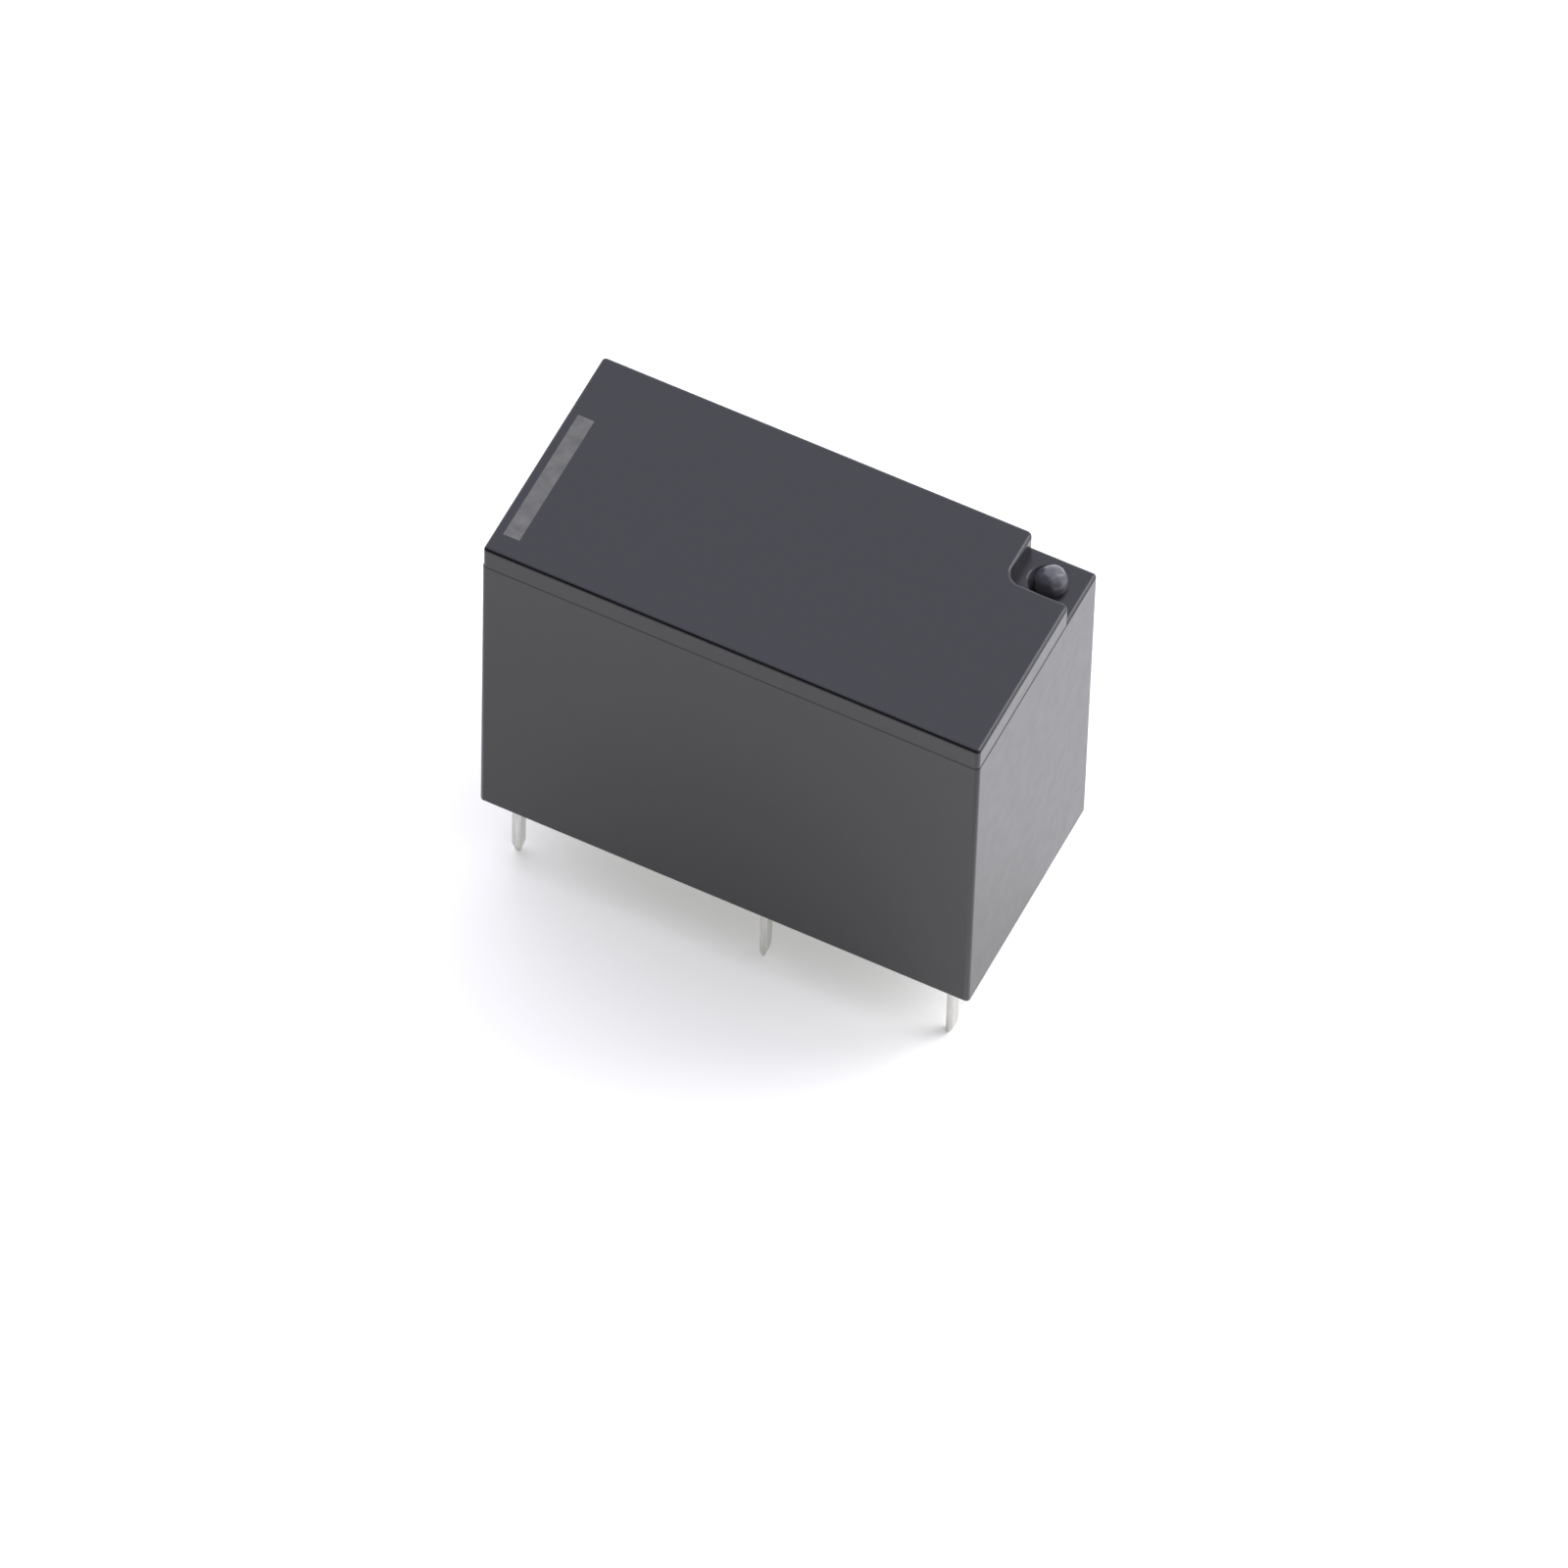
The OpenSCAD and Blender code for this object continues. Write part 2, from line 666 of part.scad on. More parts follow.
module moving_spring() color("#c08a4e") translate([0, 0, spring_z]) difference() {
    root_reach = 0.6;
    arm_step = 0.3;
    eye_rim = 0.2;
    arm_width = spring_width - 2 * arm_step;
    linear_extrude(spring_thickness) {
        translate([spring_root, -spring_width / 2]) square([common_tab + root_reach, spring_width]);
        translate([spring_root, -arm_width / 2]) square([contact_centre - spring_root, arm_width]);
        translate([contact_centre, 0]) circle(moving_diameter / 2 + eye_rim);
    }
    translate([contact_centre, 0, -cut]) cylinder(d = contact_shank + 2 * fit, h = 2 * cut);
    translate([0, 0, -spring_z]) at_spring_rivets() translate([0, 0, -cut])
        cylinder(d = rivet_shank + 2 * fit, h = 2 * cut);
}

module spring_rivets() color("#c3c5c8") at_spring_rivets() {
    translate([0, 0, -blade_thickness - rivet_height / 2])
        cylinder(d = rivet_shank, h = blade_thickness + spring_thickness + rivet_height);
    translate([0, 0, spring_thickness]) rivet_dome(rivet_head, rivet_height);
    translate([0, 0, -blade_thickness]) mirror([0, 0, 1]) rivet_dome(rivet_head, rivet_height);
}

module moving_contact() color("#d9d7d2") translate([contact_centre, 0, spring_z]) {
    cylinder(d = contact_shank, h = spring_thickness);
    translate([0, 0, spring_thickness]) domed_head(moving_diameter, moving_height, moving_dome);
    mirror([0, 0, 1]) domed_head(moving_diameter, moving_height, moving_dome);
}

// A square coil pin, tapered on all four sides at its tip
module coil_terminal(side) {
    half = coil_post / 2;
    tip_z = -pin_length;
    post_top = winding_z + post_stub;
    color("#c9c6be") translate([coil_pin_x, side * row_y, 0]) intersection_for(turn = [0, 90])
        rotate([0, 0, turn]) across(coil_post) polygon([
            [-half, post_top],
            [-half, tip_z + tip_taper],
            [-half / 2, tip_z],
            [half / 2, tip_z],
            [half, tip_z + tip_taper],
            [half, post_top]
        ]);
}

module coil_terminal_front() coil_terminal(front);
module coil_terminal_back() coil_terminal(back);

// The end of the winding wire: close turns round the coil pin and a run across to the winding
module coil_lead(side) {
    lay = 0.86;
    turn_radius = coil_post / sqrt(2) + lead_diameter / 4;
    pitch = lay * lead_diameter;
    first_z = winding_z + lead_diameter / 2 + fit;
    run_z = first_z + pitch;
    run_length = norm([coil_x - coil_pin_x, row_y]) - winding_diameter / 2 - fit;
    color("#b8732f") translate([coil_pin_x, side * row_y, 0]) difference() {
        union() {
            rotate_extrude() for (turn = [0 : lead_turns - 1])
                translate([turn_radius, first_z + turn * pitch]) circle(lead_diameter / 2);
            translate([0, 0, run_z]) rotate([0, 90, atan2(-side * row_y, coil_x - coil_pin_x)])
                translate([0, 0, turn_radius]) cylinder(d = lead_diameter, h = run_length - turn_radius);
        }
        box([-coil_post / 2 - fit, -coil_post / 2 - fit, 0],
            [coil_post / 2 + fit, coil_post / 2 + fit, cover_height]);
    }
}

module coil_lead_front() coil_lead(front);
module coil_lead_back() coil_lead(back);

cover();
sealing_resin();
base();
bobbin();
winding();
core();
yoke();
armature();
actuator_card();
hinge_spring();
hinge_spring_rivets();
common_terminal();
moving_spring();
spring_rivets();
moving_contact();
normally_closed_terminal();
normally_closed_contact();
normally_open_terminal();
normally_open_contact();
coil_terminal_front();
coil_terminal_back();
coil_lead_front();
coil_lead_back();
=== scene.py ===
import math

import bmesh
import bpy
from mathutils import Matrix, Vector, noise as ripple


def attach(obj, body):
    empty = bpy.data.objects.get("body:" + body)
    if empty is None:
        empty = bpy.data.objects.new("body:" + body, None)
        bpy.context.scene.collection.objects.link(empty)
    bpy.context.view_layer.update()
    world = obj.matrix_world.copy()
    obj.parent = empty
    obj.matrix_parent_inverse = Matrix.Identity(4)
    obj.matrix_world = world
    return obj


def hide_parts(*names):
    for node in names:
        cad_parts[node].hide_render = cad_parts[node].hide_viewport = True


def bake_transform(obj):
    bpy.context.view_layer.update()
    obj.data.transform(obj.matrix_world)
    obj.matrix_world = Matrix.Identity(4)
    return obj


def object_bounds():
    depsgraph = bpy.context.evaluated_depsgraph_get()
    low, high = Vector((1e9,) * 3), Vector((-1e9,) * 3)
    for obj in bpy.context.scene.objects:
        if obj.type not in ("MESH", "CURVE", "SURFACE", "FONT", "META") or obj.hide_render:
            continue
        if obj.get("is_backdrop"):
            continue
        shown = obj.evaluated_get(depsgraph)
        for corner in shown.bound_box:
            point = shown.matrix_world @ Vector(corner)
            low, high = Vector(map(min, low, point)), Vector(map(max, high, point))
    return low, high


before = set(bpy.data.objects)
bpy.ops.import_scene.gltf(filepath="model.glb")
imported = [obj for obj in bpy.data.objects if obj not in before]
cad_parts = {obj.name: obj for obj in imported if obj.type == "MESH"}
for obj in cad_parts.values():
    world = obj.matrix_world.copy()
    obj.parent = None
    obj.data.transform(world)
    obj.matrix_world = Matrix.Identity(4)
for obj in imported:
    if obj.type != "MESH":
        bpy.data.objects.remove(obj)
cadLow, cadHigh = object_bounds()
scene = bpy.context.scene
mm = 0.001  # pieces are given in millimetres and degrees, the stage in metres

# How near counts as the same, in metres
sameHeight = 1e-7
sameCorner = 1e-6
samePoint = 1e-8
weldGap = 2e-7

# How much of a face's normal points up on a steep face and on a level one
steep = 0.5
nearLevel = 0.99

# Noise rarely leaves this range, so it is stretched from there
clouds = {"low": 0.3, "high": 0.7, "rough": 0.55}


# Small helpers for colours, nodes, finishes and pieces
def linear(hexCode):
    channels = []
    for start in (0, 2, 4):
        value = int(hexCode[start:start + 2], 16) / 255
        channels.append(value / 12.92 if value <= 0.04045 else ((value + 0.055) / 1.055) ** 2.4)
    return (*channels, 1)


def addNode(tree, kind, settings, inputs):
    node = tree.nodes.new(kind)
    for name, value in settings.items():
        setattr(node, name, value)
    for name, value in inputs.items():
        if isinstance(value, bpy.types.NodeSocket):
            tree.links.new(value, node.inputs[name])
        else:
            node.inputs[name].default_value = value
    return node


def newFinish(name, look):
    # Each cloud has its size in mm and its detail, and then two tones, two roughnesses,
    # or a depth in mm and a strength
    material = bpy.data.materials.new(name)
    material.use_nodes = True
    tree = material.node_tree
    shader = tree.nodes["Principled BSDF"]
    for socket, value in look["constants"].items():
        shader.inputs[socket].default_value = value
    where = addNode(tree, "ShaderNodeTexCoord", {}, {}).outputs["Object"]
    if "stretch" in look:
        drawn = {"Vector": where, "Scale": look["stretch"]}
        where = addNode(tree, "ShaderNodeMapping", {}, drawn).outputs["Vector"]
    for use, (size, detail, first, second) in look["clouds"].items():
        grain = {"Vector": where, "Scale": 1 / (size * mm), "Detail": detail, "Roughness": clouds["rough"]}
        cloud = addNode(tree, "ShaderNodeTexNoise", {}, grain).outputs["Fac"]
        span = {"Value": cloud, "From Min": clouds["low"], "From Max": clouds["high"]}
        if use == "tone":
            share = addNode(tree, "ShaderNodeMapRange", {}, span).outputs["Result"]
            tones = {"Factor": share, "A": linear(first), "B": linear(second)}
            mixed = addNode(tree, "ShaderNodeMix", {"data_type": "RGBA"}, tones)
            tree.links.new(mixed.outputs["Result"], shader.inputs["Base Color"])
        elif use == "gloss":
            rough = addNode(tree, "ShaderNodeMapRange", {}, {**span, "To Min": first, "To Max": second})
            tree.links.new(rough.outputs["Result"], shader.inputs["Roughness"])
        else:
            raised = {"Height": cloud, "Distance": first * mm, "Strength": second}
            relief = addNode(tree, "ShaderNodeBump", {}, raised)
            tree.links.new(relief.outputs["Normal"], shader.inputs["Normal"])
    return material


def finishPiece(bm, name, body, materials, replaced, crease):
    bmesh.ops.recalc_face_normals(bm, faces=bm.faces[:])
    for face in bm.faces:
        face.smooth = True
    for edge in bm.edges:
        edge.smooth = edge.calc_face_angle(math.pi) < math.radians(crease)
    mesh = bpy.data.meshes.new(name)
    bm.to_mesh(mesh)
    bm.free()
    piece = bpy.data.objects.new(name, mesh)
    scene.collection.objects.link(piece)
    for material in materials:
        mesh.materials.append(material)
    if body:
        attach(piece, body)
    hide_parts(*replaced)
    return piece


# Moulded black plastic: nearly black, so what the eye sees is the room in its satin skin
coverPlastic = newFinish("coverPlastic", {
    "constants": {"Base Color": linear("151518"), "IOR": 1.45},
    "clouds": {"gloss": (0.6, 4, 0.23, 0.27), "relief": (0.05, 2, 0.0003, 0.25)},
})

# Pale grey bar burnt into the skin: chalky, with a slightly uneven tone
markGrey = newFinish("markGrey", {
    "constants": {"Roughness": 0.7, "IOR": 1.5},
    "clouds": {"tone": (0.6, 4, "4d4c49", "63625d"), "relief": (0.05, 2, 0.003, 0.5)},
})

# Melted plug: the same plastic where heat has closed the vent, a little lumpy; its colour is painted paler
# than the cover's, painted light that lifts its dimly lit side
meltedPlugPaintedPale = newFinish("meltedPlugPaintedPale", {
    "constants": {"Base Color": linear("4e4e51"), "IOR": 1.46},
    "clouds": {"gloss": (0.3, 3, 0.22, 0.34), "relief": (0.2, 3, 0.03, 0.6)},
})

# Cast epoxy: black, glossy and a little wavy where it set
epoxyResin = newFinish("epoxyResin", {
    "constants": {"Base Color": linear("1b1a1c"), "IOR": 1.53},
    "clouds": {"gloss": (1.5, 2, 0.12, 0.24), "relief": (2.2, 2, 0.03, 0.5)},
})


def mouldedPlastic(name, dark, pale, rough):
    # Plain filled plastic: a faint cloudiness in its colour
    return newFinish(name, {
        "constants": {"IOR": 1.5, "Roughness": rough},
        "clouds": {"tone": (0.8, 3, dark, pale), "relief": (0.1, 3, 0.002, 0.3)},
    })


basePlastic = mouldedPlastic("basePlastic", "232326", "2d2d31", 0.42)
bobbinPlastic = mouldedPlastic("bobbinPlastic", "1c1d21", "25262b", 0.42)
cardPlastic = mouldedPlastic("cardPlastic", "cfc8b6", "ddd7c8", 0.45)
print("plastics ready")


streaks = {"size": 0.12, "detail": 4, "shinier": 0.06, "duller": 0.08, "depth": 0.0015, "strength": 0.3}


def rolledMetal(name, dark, pale, rough, stretch):
    # Rolled or plated metal: a soft sheen in streaks, drawn coarser than real rolling marks so that they show
    grain = (streaks["size"], streaks["detail"])
    return newFinish(name, {
        "constants": {"Metallic": 1},
        "stretch": stretch,
        "clouds": {
            "tone": (*grain, dark, pale),
            "gloss": (*grain, rough - streaks["shinier"], rough + streaks["duller"]),
            "relief": (*grain, streaks["depth"], streaks["strength"]),
        },
    })


tinned = rolledMetal("tinnedTerminal", "c8c6c1", "e0dfdb", 0.36, (1, 1, 0.12))
iron = rolledMetal("softIron", "8f9298", "b1b4b9", 0.38, (1, 0.15, 1))
bronze = rolledMetal("springBronze", "a8753d", "c9945a", 0.3, (0.12, 1, 1))
steel = rolledMetal("rivetSteel", "aeb1b5", "cdd0d3", 0.32, (1, 1, 1))
silver = rolledMetal("silverContact", "d3d1cc", "ebe9e4", 0.28, (1, 1, 1))

# Enamelled copper wire in level layers: each turn shows as a fine ridge with a warm sheen
wire = {
    "pitch": 0.085,
    "ridge": 0.02,
    "strength": 0.6,
    "cloud": (1.1, 3),
    "gloss": (0.42, 0.58, 0.32, 0.38),  # range of the cloud, and the roughness at its ends
}
copper = newFinish("copperWire", {
    "constants": {"Metallic": 0.9, "Coat Weight": 0.6},
    "clouds": {"tone": (*wire["cloud"], "9c5526", "b2652d")},
})
tree = copper.node_tree
shader = tree.nodes["Principled BSDF"]
where = addNode(tree, "ShaderNodeTexCoord", {}, {}).outputs["Object"]
size, detail = wire["cloud"]
grain = {"Vector": where, "Scale": 1 / (size * mm), "Detail": detail, "Roughness": clouds["rough"]}
cloud = addNode(tree, "ShaderNodeTexNoise", {}, grain).outputs["Fac"]
ends = dict(zip(("From Min", "From Max", "To Min", "To Max"), wire["gloss"]))
rough = addNode(tree, "ShaderNodeMapRange", {}, {"Value": cloud, **ends})
tree.links.new(rough.outputs["Result"], shader.inputs["Roughness"])
height = addNode(tree, "ShaderNodeSeparateXYZ", {}, {"Vector": where}).outputs["Z"]
turns = {0: height, 1: 2 * math.pi / (wire["pitch"] * mm)}
phase = addNode(tree, "ShaderNodeMath", {"operation": "MULTIPLY"}, turns).outputs[0]
ridges = addNode(tree, "ShaderNodeMath", {"operation": "SINE"}, {0: phase}).outputs[0]
raised = {"Height": ridges, "Distance": wire["ridge"] * mm, "Strength": wire["strength"]}
relief = addNode(tree, "ShaderNodeBump", {}, raised)
tree.links.new(relief.outputs["Normal"], shader.inputs["Normal"])
print("metals ready")

# Cover: a moulded box and its cap, with the notch, the vent pip in its moat, and the hollow inside
cover = {
    "half": (10, 4.9),
    "corner": 0.17,
    "rimEdge": 0.05,
    "rimSegments": 4,
    "parting": 14.65,
    "capStep": 0.02,
    "capRoot": 14.5,
    "capLip": (0.15, 0.12),  # width and depth of the hollow under the cap
    "top": 15.6,
    "edge": 0.16,
    "notch": (7.42, 2.54),
    "notchCorner": 0.55,
    "notchEnd": 0.25,
    "inside": (9.4, 4.3),
    "roof": 14.6,
    "pocket": (6.82, 1.94, 13.85),
    "segments": 10,
    "support": 0.008,
    "flatArea": 0.5,
    "mark": (-9.6, -3.97, -8.94, 2.05),
    "crease": 20,
}
vent = {
    "centre": (8.71, 3.72),
    "radius": 0.6,
    "top": 15.4,
    "domeSteps": 12,
    "lumps": (0.3, 0.045),  # size and height
    "skin": 0.04,  # how far past the radius the plug's finish may lie
    "clear": 0.01,  # what lies this far above the notch's floor is the plug
    "moat": (8.51, 3.72, 0.7),
    "moatSlope": 42,
    "dishSteps": 8,
    "moatLip": 0.14,
    "lipSteps": 4,
    "root": 14.1,
    "turns": 64,
}


def raiseFaces(bm, faces, height):
    # Extrudes faces straight up and gives back the new ones
    risen = bmesh.ops.extrude_face_region(bm, geom=faces)["geom"]
    lifted = [item for item in risen if isinstance(item, bmesh.types.BMVert)]
    bmesh.ops.translate(bm, verts=lifted, vec=(0, 0, height * mm))
    return [item for item in risen if isinstance(item, bmesh.types.BMFace)]


def prism(bm, corners, low, high):
    base = bm.faces.new([bm.verts.new((x * mm, y * mm, low * mm)) for x, y in corners])
    raiseFaces(bm, [base], high - low)
    bmesh.ops.recalc_face_normals(bm, faces=bm.faces[:])


def roundEdges(bm, edges, radius, segments, clamp=False):
    bmesh.ops.bevel(
        bm,
        geom=edges,
        offset=radius * mm,
        offset_type="OFFSET",
        segments=segments,
        profile=0.5,
        affect="EDGES",
        clamp_overlap=clamp,
        material=-1,
    )


def uprights(bm, x, y):
    spot = Vector((x, y)) * mm
    return [e for e in bm.edges if all((v.co.xy - spot).length < sameCorner for v in e.verts)]


def isLevel(item, z):
    return all(abs(v.co.z - z * mm) < sameHeight for v in item.verts)


def levelEdges(bm, z):
    # Edges at one height that an upright face meets
    return [e for e in bm.edges if isLevel(e, z) and any(abs(f.normal.z) < steep for f in e.link_faces)]


def lowestLevel(bm):
    # The widest of the faces that look down
    bm.normal_update()
    return max((f for f in bm.faces if f.normal.z < -nearLevel), key=lambda f: f.calc_area())


def supportFlats(bm):
    # A narrow ring inside each flat face keeps the shading of the roundings off it
    flats = [f for f in bm.faces if f.calc_area() > cover["flatArea"] * mm * mm]
    bmesh.ops.inset_individual(bm, faces=flats, thickness=cover["support"] * mm, use_even_offset=True)


def rectangle(x, y):
    return [(-x, -y), (x, -y), (x, y), (-x, y)]


def notched(x, y, notchX, notchY):
    return [(-x, -y), (x, -y), (x, notchY), (notchX, notchY), (notchX, y), (-x, y)]


def join(bm, other):
    mesh = bpy.data.meshes.new("shell")
    other.to_mesh(mesh)
    other.free()
    bm.from_mesh(mesh)
    bpy.data.meshes.remove(mesh)


def shellObject(bm):
    mesh = bpy.data.meshes.new("shell")
    bmesh.ops.recalc_face_normals(bm, faces=bm.faces[:])
    bm.to_mesh(mesh)
    bm.free()
    piece = bpy.data.objects.new("shell", mesh)
    scene.collection.objects.link(piece)
    return piece


def united(bm, other):
    # A true union, so that no face is left inside the solid
    pieces = [shellObject(bm), shellObject(other)]
    step = pieces[0].modifiers.new("union", "BOOLEAN")
    step.operation = "UNION"
    step.solver = "EXACT"
    step.object = pieces[1]
    whole = bmesh.new()
    whole.from_object(pieces[0], bpy.context.evaluated_depsgraph_get())
    bmesh.ops.remove_doubles(whole, verts=whole.verts[:], dist=weldGap)
    for piece in pieces:
        bpy.data.meshes.remove(piece.data)
    return whole


def takeWidest(bm, z):
    flats = [f for f in bm.faces if isLevel(f, z)]
    bm.faces.remove(max(flats, key=lambda f: f.calc_area()))


def closeRims(bm):
    rims = [e for e in bm.edges if len(e.link_faces) == 1]
    bmesh.ops.triangle_fill(bm, edges=rims, use_beauty=True, use_dissolve=False)


def addBox(bm):
    x, y = cover["half"]
    prism(bm, rectangle(x, y), 0, cover["parting"])
    for cornerX, cornerY in rectangle(x, y):
        roundEdges(bm, uprights(bm, cornerX, cornerY), cover["corner"], cover["segments"])
    roundEdges(bm, levelEdges(bm, cover["parting"]), cover["edge"], cover["segments"])
    roundEdges(bm, levelEdges(bm, 0), cover["rimEdge"], cover["rimSegments"])
    supportFlats(bm)


def addRoom(bm):
    # The hollow, with the notch's pocket hanging into one corner of it
    x, y = cover["inside"]
    pocketX, pocketY, pocketZ = cover["pocket"]
    spots = notched(x, y, pocketX, pocketY) + [(x, y)]
    verts = [bm.verts.new((spotX * mm, spotY * mm, 0)) for spotX, spotY in spots]
    floors = [bm.faces.new(verts[:6]), bm.faces.new((verts[2], verts[6], verts[4], verts[3]))]
    roof = max(raiseFaces(bm, floors, pocketZ), key=lambda f: f.calc_area())
    for face in floors:
        bm.faces.remove(face)
    bm.edges.remove(bm.edges.get((verts[2], verts[3])))
    bm.edges.remove(bm.edges.get((verts[3], verts[4])))
    bm.verts.remove(verts[3])
    raiseFaces(bm, [roof], cover["roof"] - pocketZ)
    bm.faces.remove(roof)


def capBlock():
    bm = bmesh.new()
    x = cover["half"][0] - cover["capStep"]
    y = cover["half"][1] - cover["capStep"]
    notchX, notchY = cover["notch"]
    prism(bm, notched(x, y, notchX, notchY), cover["capRoot"], cover["top"])
    for cornerX, cornerY in ((-x, -y), (x, -y), (-x, y)):
        roundEdges(bm, uprights(bm, cornerX, cornerY), cover["corner"], cover["segments"])
    roundEdges(bm, uprights(bm, notchX, notchY), cover["notchCorner"], cover["segments"])
    for cornerX, cornerY in ((x, notchY), (notchX, y)):
        roundEdges(bm, uprights(bm, cornerX, cornerY), cover["notchEnd"], cover["segments"])
    roundEdges(bm, levelEdges(bm, cover["top"]), cover["edge"], cover["segments"])
    supportFlats(bm)
    lip, rise = cover["capLip"]
    bmesh.ops.inset_individual(bm, faces=[lowestLevel(bm)], thickness=lip * mm, depth=-rise * mm)
    return bm


def turned(profile, centre):
    # A profile of radius and height, spun round an upright axis
    bm = bmesh.new()
    verts = [bm.verts.new(((centre[0] + r) * mm, centre[1] * mm, z * mm)) for r, z in profile]
    edges = [bm.edges.new(pair) for pair in zip(verts, verts[1:])]
    bmesh.ops.spin(
        bm,
        geom=verts + edges,
        cent=(centre[0] * mm, centre[1] * mm, 0),
        axis=(0, 0, 1),
        angle=2 * math.pi,
        steps=vent["turns"],
        use_merge=True,
    )
    bmesh.ops.remove_doubles(bm, verts=bm.verts[:], dist=samePoint)
    bmesh.ops.recalc_face_normals(bm, faces=bm.faces[:])
    return bm


def moatDish():
    # A round dish whose lip rolls over into the notch's floor
    x, y, wall = vent["moat"]
    slope = math.radians(vent["moatSlope"])
    lip = vent["moatLip"]
    dish = wall / math.sin(slope)
    wallZ = cover["parting"] - lip * (1 - math.cos(slope))
    profile = []
    for step in range(vent["dishSteps"] + 1):
        angle = slope * step / vent["dishSteps"]
        profile.append((dish * math.sin(angle), wallZ + dish * (math.cos(slope) - math.cos(angle))))
    for step in range(1, vent["lipSteps"] + 1):
        angle = slope * (1 - step / vent["lipSteps"])
        rolled = wall + lip * (math.sin(slope) - math.sin(angle))
        profile.append((rolled, cover["parting"] - lip * (1 - math.cos(angle))))
    return turned(profile, (x, y))


def pipDome():
    # The melted plug: a short wall that swells into a dome, with slow lumps where heat moved it
    dome = vent["radius"]
    domeZ = vent["top"] - dome
    profile = [(0, vent["root"]), (dome, vent["root"])]
    for step in range(vent["domeSteps"] + 1):
        angle = math.radians(90 * (1 - step / vent["domeSteps"]))
        profile.append((dome * math.sin(angle), domeZ + dome * math.cos(angle)))
    bm = turned(profile, vent["centre"])
    size, height = vent["lumps"]
    heart = Vector((*vent["centre"], domeZ)) * mm
    for vert in bm.verts:
        away = (vert.co - heart).normalized()
        if away.z > 0.01:  # the lumps fade out towards the wall
            share = min(1, 2 * away.z)
            vert.co += away * ripple.noise(vert.co / (size * mm)) * share * height * mm
    return bm


bm = bmesh.new()
addBox(bm)
takeWidest(bm, 0)
addRoom(bm)
closeRims(bm)
takeWidest(bm, cover["parting"])
join(bm, moatDish())
closeRims(bm)
bm = united(bm, capBlock())
bm = united(bm, pipDome())

# The pale bar is part of the top's own face, cut out along its four sides
left, low, right, high = cover["mark"]
sides = [((left, 0), (1, 0, 0)), ((right, 0), (1, 0, 0)), ((0, low), (0, 1, 0)), ((0, high), (0, 1, 0))]
for (sideX, sideY), normal in sides:
    roof = [f for f in bm.faces if isLevel(f, cover["top"])]
    geom = list(dict.fromkeys(item for f in roof for item in (f, *f.edges, *f.verts)))
    place = (sideX * mm, sideY * mm, 0)
    bmesh.ops.bisect_plane(bm, geom=geom, dist=samePoint, plane_co=place, plane_no=normal)
bm.normal_update()
for face in bm.faces:
    spot = face.calc_center_median() / mm
    inBar = left < spot.x < right and low < spot.y < high and isLevel(face, cover["top"])
    reach = (spot.xy - Vector(vent["centre"])).length
    byPip = reach < vent["radius"] + vent["skin"] and spot.z > vent["root"]
    aboveFloor = spot.z > cover["parting"] + vent["clear"]
    onPip = byPip and (aboveFloor or abs(face.normal.z) < steep)
    face.material_index = 1 if inBar else 2 if onPip else 0
# The third finish paints the plug paler than the cover: painted light on its dim side
coverMaterials = [coverPlastic, markGrey, meltedPlugPaintedPale]
finishPiece(bm, "relayCover", "relay_body", coverMaterials, ["cover"], cover["crease"])
print("cover ready")

# Sealing resin: its face creeps up the walls and round each pin
resin = {
    "half": (9.4, 4.3),
    "face": 0.25,
    "back": 0.85,
    "creep": 0.12,
    "reach": 0.35,
    "steps": 6,
    "bend": 2.5,
    "crease": 40,
}
collar = {"reach": 0.25, "corner": 0.28, "segments": 6, "sunk": 0.004, "root": 0.5}
pinTop = 0.1  # below this height a terminal is only its pin
pinNodes = [
    "coil_terminal_front",
    "coil_terminal_back",
    "common_terminal",
    "normally_closed_terminal",
    "normally_open_terminal",
]


def pinFootprint(name):
    spots = [v.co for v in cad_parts[name].data.vertices if v.co.z < pinTop * mm]
    xs = [p.x / mm for p in spots]
    ys = [p.y / mm for p in spots]
    middle = ((min(xs) + max(xs)) / 2, (min(ys) + max(ys)) / 2)
    return (*middle, (max(xs) - min(xs)) / 2, (max(ys) - min(ys)) / 2)


def creepSteps(reach):
    # Width and rise of each step of the curve in which the resin climbs what it wets
    out = []
    for step in range(resin["steps"]):
        near = (1 - step / resin["steps"]) ** resin["bend"]
        far = (1 - (step + 1) / resin["steps"]) ** resin["bend"]
        out.append((reach / resin["steps"] * mm, resin["creep"] * (near - far) * mm))
    return out


def resinBlock():
    bm = bmesh.new()
    prism(bm, rectangle(*resin["half"]), resin["face"] - resin["creep"], resin["back"])
    for width, rise in creepSteps(resin["reach"]):
        level = [lowestLevel(bm)]
        bmesh.ops.inset_individual(bm, faces=level, thickness=width, depth=-rise, use_even_offset=True)
    return bm


def collarBlock(name):
    pinX, pinY, halfX, halfY = pinFootprint(name)
    reach = collar["reach"]
    bm = bmesh.new()
    prism(bm, rectangle(halfX + reach, halfY + reach), resin["face"] + collar["sunk"], collar["root"])
    for cornerX, cornerY in rectangle(halfX + reach, halfY + reach):
        roundEdges(bm, uprights(bm, cornerX, cornerY), collar["corner"], collar["segments"])
    for width, rise in reversed(creepSteps(reach)):
        level = [lowestLevel(bm)]
        bmesh.ops.inset_individual(bm, faces=level, thickness=width, depth=rise, use_even_offset=True)
    bmesh.ops.translate(bm, verts=bm.verts[:], vec=(pinX * mm, pinY * mm, 0))
    return bm


bm = resinBlock()
for name in pinNodes:
    bm = united(bm, collarBlock(name))
finishPiece(bm, "sealingResin", "relay_body", [epoxyResin], ["sealing_resin"], resin["crease"])
print("resin ready")

# Terminals: stamped sheet with its edges just broken
terminal = {"edge": 0.035, "segments": 3, "flat": 2, "sharp": 25, "crease": 35}


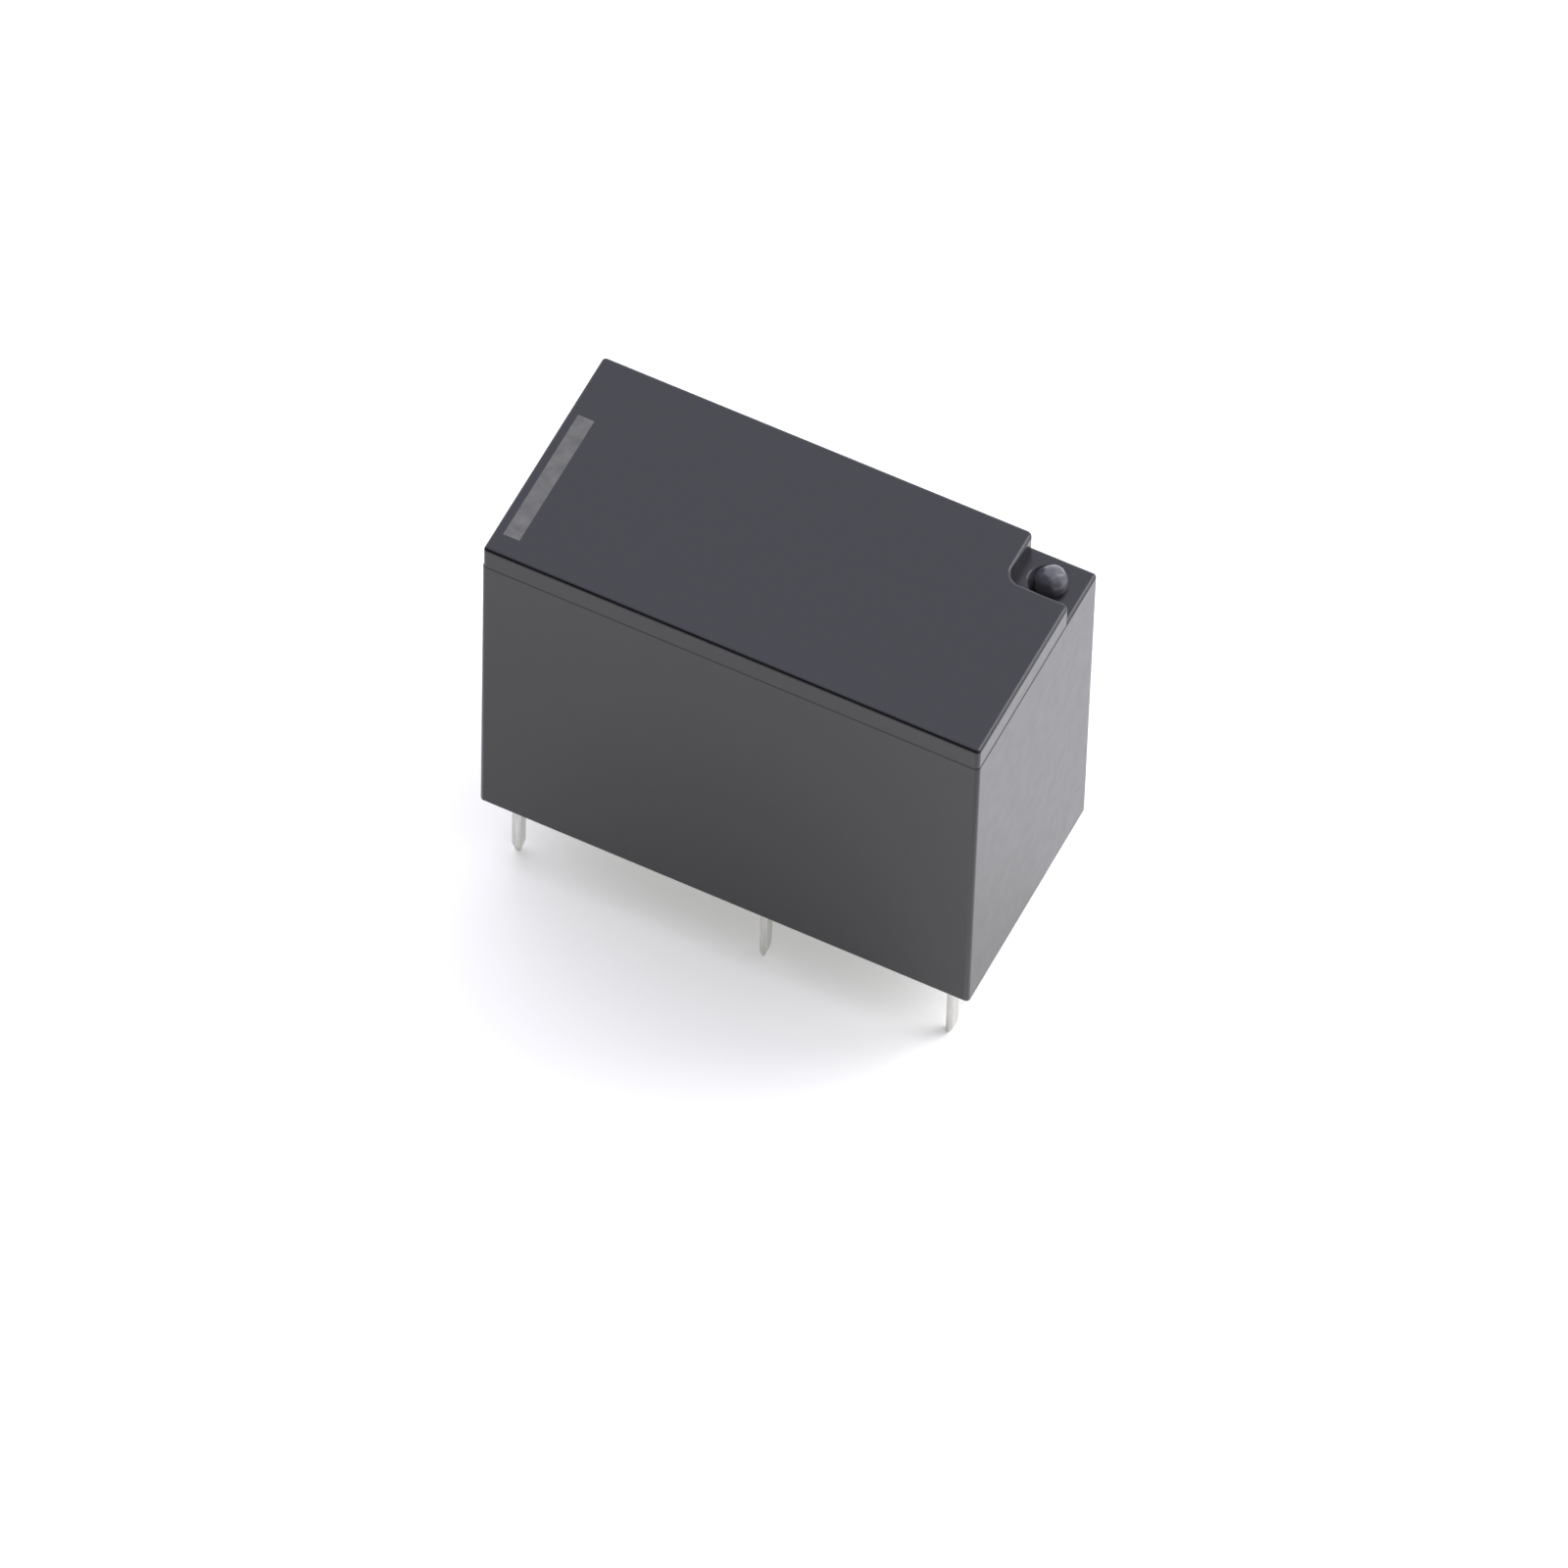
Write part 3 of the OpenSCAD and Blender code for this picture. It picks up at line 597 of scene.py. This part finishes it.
def nodeCopy(name):
    bm = bmesh.new()
    bm.from_mesh(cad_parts[name].data)
    bmesh.ops.remove_doubles(bm, verts=bm.verts[:], dist=sameHeight)
    return bm


def softTerminal(name):
    bm = nodeCopy(name)
    flat = math.radians(terminal["flat"])
    bmesh.ops.dissolve_limit(bm, angle_limit=flat, verts=bm.verts[:], edges=bm.edges[:])
    closed = [e for e in bm.edges if len(e.link_faces) == 2]
    sharp = [e for e in closed if e.calc_face_angle() > math.radians(terminal["sharp"])]
    roundEdges(bm, sharp, terminal["edge"], terminal["segments"], clamp=True)
    return bm


for name in pinNodes:
    words = name.split("_")
    title = words[0] + "".join(w.capitalize() for w in words[1:])
    bm = softTerminal(name)
    finishPiece(bm, title, "relay_body", [tinned], [name], terminal["crease"])
print("terminals ready")

# Moving spring: cut across so that it can bend between its clamp and the card
spring = {"clampX": 2.6, "endX": 5.4, "z": 8.79, "cuts": 14, "crease": 20}
bm = nodeCopy("moving_spring")
for step in range(spring["cuts"] + 1):
    cutX = spring["clampX"] + (spring["endX"] - spring["clampX"]) * step / spring["cuts"]
    geom = bm.verts[:] + bm.edges[:] + bm.faces[:]
    bmesh.ops.bisect_plane(bm, geom=geom, dist=samePoint, plane_co=(cutX * mm, 0, 0), plane_no=(1, 0, 0))
replaced = ["moving_spring"]
movingSpring = finishPiece(bm, "movingSpring", None, [bronze], replaced, spring["crease"])
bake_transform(movingSpring)
print("moving spring ready")

# Pieces under the cover keep their solids and take the finish of their kind
finishes = {
    "base": basePlastic,
    "bobbin": bobbinPlastic,
    "winding": copper,
    "core": iron,
    "yoke": iron,
    "armature": iron,
    "actuator_card": cardPlastic,
    "hinge_spring": bronze,
    "hinge_spring_rivets": steel,
    "spring_rivets": steel,
    "moving_contact": silver,
    "normally_closed_contact": silver,
    "normally_open_contact": silver,
    "coil_lead_front": copper,
    "coil_lead_back": copper,
}
for name, material in finishes.items():
    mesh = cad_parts[name].data
    mesh.materials.clear()
    mesh.materials.append(material)
print("inner pieces ready")

# Floor: white card just under the pin tips, which the walls mirror
stage = {"size": 1.6, "glow": 0.32, "tint": "fffff8", "albedo": "f2f2ec", "roughness": 0.9}
floorCard = newFinish("floorCard", {
    "constants": {
        "Base Color": linear(stage["albedo"]),
        "Roughness": stage["roughness"],
        "Emission Color": linear(stage["tint"]),
    },
    "clouds": {},
})
# Only the camera and what mirrors the card see its own white, so it puts no more light on the relay
tree = floorCard.node_tree
rays = addNode(tree, "ShaderNodeLightPath", {}, {}).outputs
mirrored = {0: rays["Is Glossy Ray"], 1: rays["Is Transmission Ray"]}
indirect = addNode(tree, "ShaderNodeMath", {"operation": "ADD"}, mirrored).outputs[0]
sight = {0: rays["Is Camera Ray"], 1: indirect}
seen = addNode(tree, "ShaderNodeMath", {"operation": "ADD", "use_clamp": True}, sight).outputs[0]
ownWhite = addNode(tree, "ShaderNodeMath", {"operation": "MULTIPLY"}, {0: seen, 1: stage["glow"]})
tree.links.new(ownWhite.outputs[0], tree.nodes["Principled BSDF"].inputs["Emission Strength"])
bm = bmesh.new()
bmesh.ops.create_grid(bm, x_segments=1, y_segments=1, size=stage["size"] / 2)
bmesh.ops.translate(bm, verts=bm.verts[:], vec=(0, 0, cadLow.z))
mesh = bpy.data.meshes.new("floor")
bm.to_mesh(mesh)
bm.free()
mesh.materials.append(floorCard)
floor = bpy.data.objects.new("floor", mesh)
scene.collection.objects.link(floor)
floor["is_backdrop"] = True

# Soft studio light: a cool white sweep behind and above, fading to a dim room in front
sweep = {
    "towards": (0, 0.65, 0.76),
    "from": 0.1,
    "to": 0.75,
    "dim": 0.05,
    "bright": 1.8,
    "tint": (0.95, 0.95, 1.12, 1),
}
world = bpy.data.worlds.new("room")
world.use_nodes = True
scene.world = world
tree = world.node_tree
background = tree.nodes["Background"]
direction = addNode(tree, "ShaderNodeTexCoord", {}, {}).outputs["Generated"]
aims = {0: direction, 1: sweep["towards"]}
facing = addNode(tree, "ShaderNodeVectorMath", {"operation": "DOT_PRODUCT"}, aims).outputs["Value"]
ranges = {
    "Value": facing,
    "From Min": sweep["from"],
    "From Max": sweep["to"],
    "To Min": sweep["dim"],
    "To Max": sweep["bright"],
}
strength = addNode(tree, "ShaderNodeMapRange", {"interpolation_type": "SMOOTHSTEP"}, ranges)
background.inputs["Color"].default_value = sweep["tint"]
tree.links.new(strength.outputs["Result"], background.inputs["Strength"])

# Softbox behind on the right: it draws the thin bright lines along the edges that face it
softbox = {"towards": (0.6, 0.55, 0.55), "away": 0.8, "size": (0.42, 0.8), "power": 4.0}
lamp = bpy.data.lights.new("softbox", "AREA")
lamp.energy = softbox["power"]
lamp.shape = "RECTANGLE"
lamp.size, lamp.size_y = softbox["size"]
light = bpy.data.objects.new("softbox", lamp)
direction = Vector(softbox["towards"]).normalized()
light.location = direction * softbox["away"]
light.rotation_euler = direction.to_track_quat("Z", "Y").to_euler()
scene.collection.objects.link(light)

# Camera fitted to nine edges of the cover in the photograph
view = {
    "azimuth": 24.924,
    "elevation": 54.548,
    "roll": 1.798,
    "distance": 0.7352,
    "lens": 463.8,
    "sensor": 36,
    "middle": 7.8,  # half the cover's height
    "down": 3.81,  # how far the picture's middle lies below and left of the cover's
    "left": 0.083,
    "clip": (0.05, 5),
}
azimuth = math.radians(view["azimuth"])
elevation = math.radians(view["elevation"])
roll = math.radians(view["roll"])
level = math.cos(elevation)
ahead = Vector((math.sin(azimuth) * level, -math.cos(azimuth) * level, math.sin(elevation)))
right = Vector((math.cos(azimuth), math.sin(azimuth), 0))
up = ahead.cross(right)
rolledRight = right * math.cos(roll) + up * math.sin(roll)
rolledUp = up * math.cos(roll) - right * math.sin(roll)
target = Vector((0, 0, view["middle"] * mm)) - rolledUp * view["down"] * mm - rolledRight * view["left"] * mm
lens = bpy.data.cameras.new("camera")
lens.sensor_width = view["sensor"]
lens.lens = view["lens"]
lens.clip_start, lens.clip_end = view["clip"]
camera = bpy.data.objects.new("camera", lens)
turn = Matrix((rolledRight, rolledUp, ahead)).transposed().to_4x4()
camera.matrix_world = Matrix.Translation(target + ahead * view["distance"]) @ turn
scene.collection.objects.link(camera)
scene.camera = camera
scene.view_settings.view_transform = "Standard"
print("stage ready")

low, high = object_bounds()
